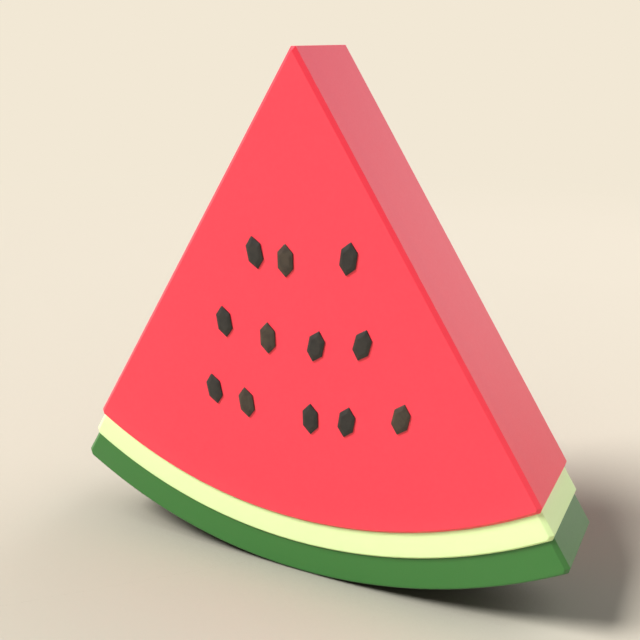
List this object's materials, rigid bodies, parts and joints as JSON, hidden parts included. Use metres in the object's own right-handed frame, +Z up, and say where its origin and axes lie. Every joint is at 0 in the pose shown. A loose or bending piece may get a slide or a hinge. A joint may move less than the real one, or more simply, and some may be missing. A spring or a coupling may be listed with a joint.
{
  "type": "watermelon wedge",
  "caption": "Thick wedge of watermelon with red flesh, dark seeds, a pale inner rind and a green outer rind, standing tip up on its curved skin.",
  "frame": {"origin": "middle of the small flat under the rind that the wedge stands on", "axes": "+Z up through the tip, +X across the front cut face to its right, the front cut face looks towards -Y"},
  "size_m": [0.1768, 0.0372, 0.1703],
  "materials": {
    "flesh": "moist red fruit flesh, soft and matte, with a fine grain",
    "pale_rind": "firm pale yellow-green inner rind, matte",
    "green_rind": "mid-green outer rind with a smooth waxy skin, satin",
    "seed": "hard dark seed coat, charcoal to brown, faint sheen"
  },
  "bodies": {
    "root": {"flesh": "flesh", "pale_rind": "pale_rind", "green_rind": "green_rind"}
  },
  "joints": []
}
